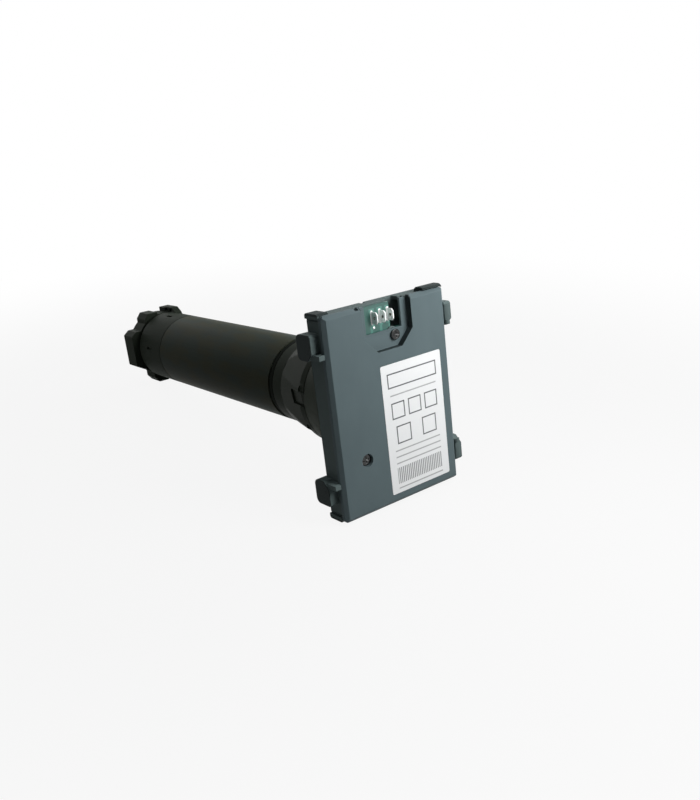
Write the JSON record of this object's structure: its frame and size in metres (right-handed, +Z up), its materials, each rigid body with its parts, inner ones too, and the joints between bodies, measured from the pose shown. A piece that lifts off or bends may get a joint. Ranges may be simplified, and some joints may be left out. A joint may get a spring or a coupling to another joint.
{
  "type": "tubular roller blind motor",
  "caption": "Tubular motor for a roller blind: flat head with plug recess and side lugs, turning crown, round tube with brake and planetary gearbox, and a lugged drive wheel.",
  "frame": {"origin": "centre of the head's front face, on the motor's axis", "axes": "+X out of the front face along the motor's axis, +Z up, +Y to the right seen from the front"},
  "size_m": [0.2858, 0.0896, 0.1116],
  "materials": {
    "cover_plastic": "satin",
    "housing_plastic": "satin",
    "black_plastic": "satin",
    "black_steel": "black oxide",
    "label_film": "matte",
    "board_laminate": "satin",
    "component_case": "gloss",
    "ferrite": "matte",
    "tinned_brass": "bright",
    "tube_paint": "satin",
    "can_aluminium": "satin",
    "rubber": "matte",
    "lead_sleeve": "satin",
    "bronze": "satin",
    "copper": "lacquered",
    "core_steel": "matte",
    "steel": "satin",
    "friction_lining": "matte",
    "gear_steel": "oiled",
    "cap_plastic": "satin"
  },
  "bodies": {
    "base": {"head_cover": "cover_plastic", "head_housing": "housing_plastic", "cover_screws": "black_steel", "rating_label": "label_film", "control_board": "board_laminate", "board_screws": "steel", "spade_terminals": "tinned_brass", "relays": "component_case", "supply_transformer": "ferrite", "neck": "black_plastic", "neck_screws": "steel", "tube_spigot": "black_plastic", "motor_tube": "tube_paint", "tube_screws": "black_steel", "run_capacitor": "can_aluminium", "capacitor_rings": "rubber", "motor_leads": "lead_sleeve", "rear_shield": "can_aluminium", "front_shield": "can_aluminium", "rotor_bushes": "bronze", "stator_core": "core_steel", "stator_windings": "copper", "brake_magnet": "ferrite", "brake_winding": "copper", "brake_pins": "steel", "brake_spring": "steel", "gearbox_plate": "steel", "ring_gear": "gear_steel", "gearbox_cap": "cap_plastic", "output_bush": "bronze"},
    "crown_body": {"crown": "black_plastic"},
    "drive": {"drive_wheel": "black_plastic", "wheel_clip": "steel", "output_shaft": "steel", "carrier_3": "steel"},
    "second_stage": {"carrier_2": "steel", "sun_gear_3": "gear_steel"},
    "first_stage": {"carrier_1": "steel", "sun_gear_2": "gear_steel"},
    "rotor": {"rotor_core": "core_steel", "rotor_cage": "can_aluminium", "rotor_shaft": "steel", "brake_disc": "friction_lining", "sun_gear_1": "gear_steel"},
    "brake_armature": {"brake_plate": "steel"},
    "planet_1_1_body": {"planet_1_1": "gear_steel"},
    "planet_1_2_body": {"planet_1_2": "gear_steel"},
    "planet_1_3_body": {"planet_1_3": "gear_steel"},
    "planet_2_1_body": {"planet_2_1": "gear_steel"},
    "planet_2_2_body": {"planet_2_2": "gear_steel"},
    "planet_2_3_body": {"planet_2_3": "gear_steel"},
    "planet_3_1_body": {"planet_3_1": "gear_steel"},
    "planet_3_2_body": {"planet_3_2": "gear_steel"},
    "planet_3_3_body": {"planet_3_3": "gear_steel"}
  },
  "joints": [
    {"name": "drive_spin", "type": "hinge", "parent": "base", "child": "drive", "pos_m": [0, 0, 0], "axis": [1, 0, 0], "continuous": true},
    {"name": "crown_spin", "type": "hinge", "parent": "base", "child": "crown_body", "pos_m": [0, 0, 0], "axis": [1, 0, 0], "continuous": true},
    {"name": "second_stage_spin", "type": "hinge", "parent": "base", "child": "second_stage", "pos_m": [0, 0, 0], "axis": [1, 0, 0], "continuous": true},
    {"name": "first_stage_spin", "type": "hinge", "parent": "base", "child": "first_stage", "pos_m": [0, 0, 0], "axis": [1, 0, 0], "continuous": true},
    {"name": "rotor_spin", "type": "hinge", "parent": "base", "child": "rotor", "pos_m": [0, 0, 0], "axis": [1, 0, 0], "continuous": true},
    {"name": "brake_release", "type": "slide", "parent": "base", "child": "brake_armature", "axis": [1, 0, 0], "range_m": [0, 0.0005], "stiffness_N_per_m": 1000, "springref_m": -0.001},
    {"name": "planet_1_1_spin", "type": "hinge", "parent": "first_stage", "child": "planet_1_1_body", "pos_m": [-0.19486, 0.01238, 0], "axis": [1, 0, 0], "continuous": true},
    {"name": "planet_1_2_spin", "type": "hinge", "parent": "first_stage", "child": "planet_1_2_body", "pos_m": [-0.19486, -0.00619, 0.01072], "axis": [1, 0, 0], "continuous": true},
    {"name": "planet_1_3_spin", "type": "hinge", "parent": "first_stage", "child": "planet_1_3_body", "pos_m": [-0.19486, -0.00619, -0.01072], "axis": [1, 0, 0], "continuous": true},
    {"name": "planet_2_1_spin", "type": "hinge", "parent": "second_stage", "child": "planet_2_1_body", "pos_m": [-0.20586, 0.01238, 0], "axis": [1, 0, 0], "continuous": true},
    {"name": "planet_2_2_spin", "type": "hinge", "parent": "second_stage", "child": "planet_2_2_body", "pos_m": [-0.20586, -0.00619, 0.01072], "axis": [1, 0, 0], "continuous": true},
    {"name": "planet_2_3_spin", "type": "hinge", "parent": "second_stage", "child": "planet_2_3_body", "pos_m": [-0.20586, -0.00619, -0.01072], "axis": [1, 0, 0], "continuous": true},
    {"name": "planet_3_1_spin", "type": "hinge", "parent": "drive", "child": "planet_3_1_body", "pos_m": [-0.21686, 0.01238, 0], "axis": [1, 0, 0], "continuous": true},
    {"name": "planet_3_2_spin", "type": "hinge", "parent": "drive", "child": "planet_3_2_body", "pos_m": [-0.21686, -0.00619, 0.01072], "axis": [1, 0, 0], "continuous": true},
    {"name": "planet_3_3_spin", "type": "hinge", "parent": "drive", "child": "planet_3_3_body", "pos_m": [-0.21686, -0.00619, -0.01072], "axis": [1, 0, 0], "continuous": true}
  ],
  "couplings": [
    {"joint": "second_stage_spin", "follows": "drive_spin", "ratio": 4.4},
    {"joint": "first_stage_spin", "follows": "drive_spin", "ratio": 19.36},
    {"joint": "rotor_spin", "follows": "drive_spin", "ratio": 85.184},
    {"joint": "planet_1_1_spin", "follows": "drive_spin", "ratio": -54.853},
    {"joint": "planet_1_2_spin", "follows": "drive_spin", "ratio": -54.853},
    {"joint": "planet_1_3_spin", "follows": "drive_spin", "ratio": -54.853},
    {"joint": "planet_2_1_spin", "follows": "drive_spin", "ratio": -12.467},
    {"joint": "planet_2_2_spin", "follows": "drive_spin", "ratio": -12.467},
    {"joint": "planet_2_3_spin", "follows": "drive_spin", "ratio": -12.467},
    {"joint": "planet_3_1_spin", "follows": "drive_spin", "ratio": -2.8333},
    {"joint": "planet_3_2_spin", "follows": "drive_spin", "ratio": -2.8333},
    {"joint": "planet_3_3_spin", "follows": "drive_spin", "ratio": -2.8333}
  ]
}
